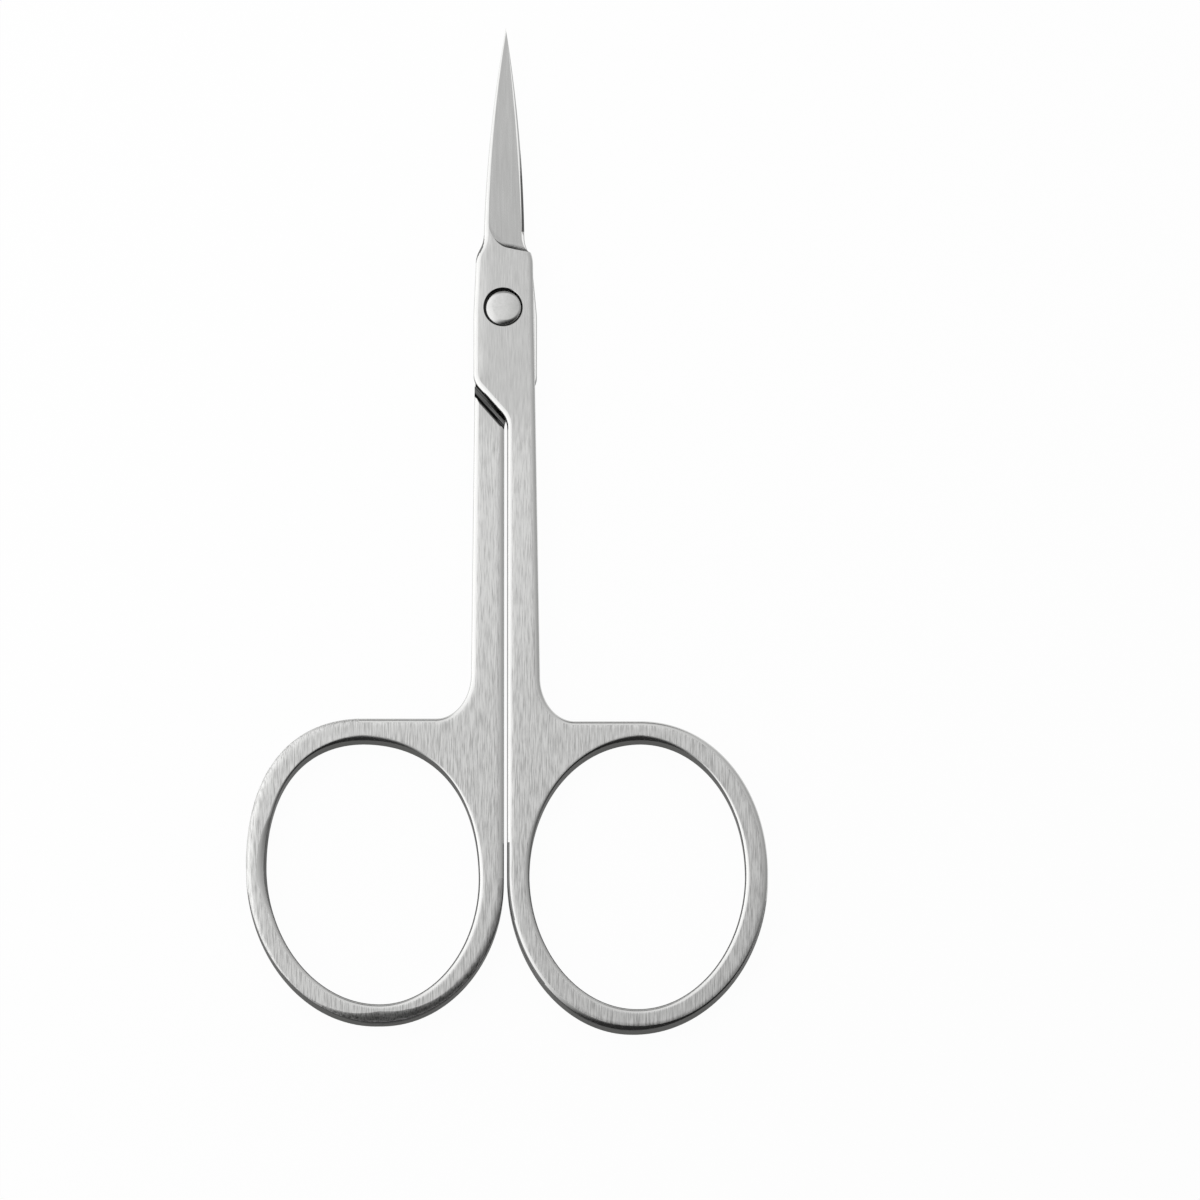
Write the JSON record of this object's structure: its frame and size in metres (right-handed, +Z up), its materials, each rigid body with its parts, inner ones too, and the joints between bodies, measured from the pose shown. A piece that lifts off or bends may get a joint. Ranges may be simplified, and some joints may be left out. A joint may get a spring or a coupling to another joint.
{
  "type": "grooming scissors",
  "caption": "Small straight-bladed steel grooming scissors with oval finger loops: flat lapped halves that pivot on a flush rivet to trim nails, cuticles and fine hair.",
  "frame": {"origin": "on the pivot axis, at the flat back that the closed scissors lie on", "axes": "+Z up out of the face that shows the rivet head, +Y along the closed blades to the tip, +X to the side of the front half's finger loop"},
  "size_m": [0.0477, 0.0945, 0.0024],
  "materials": {
    "steel": "brushed along the length, with polished edges",
    "rivet_steel": "polished flat"
  },
  "bodies": {
    "rear": {"rear_half": "steel", "pivot_rivet": "rivet_steel"},
    "front": {"front_half": "steel"}
  },
  "joints": [
    {"name": "pivot", "type": "hinge", "parent": "rear", "child": "front", "pos_m": [0, 0, 0.00115], "axis": [0, 0, 1], "range_deg": [0, 80]}
  ]
}
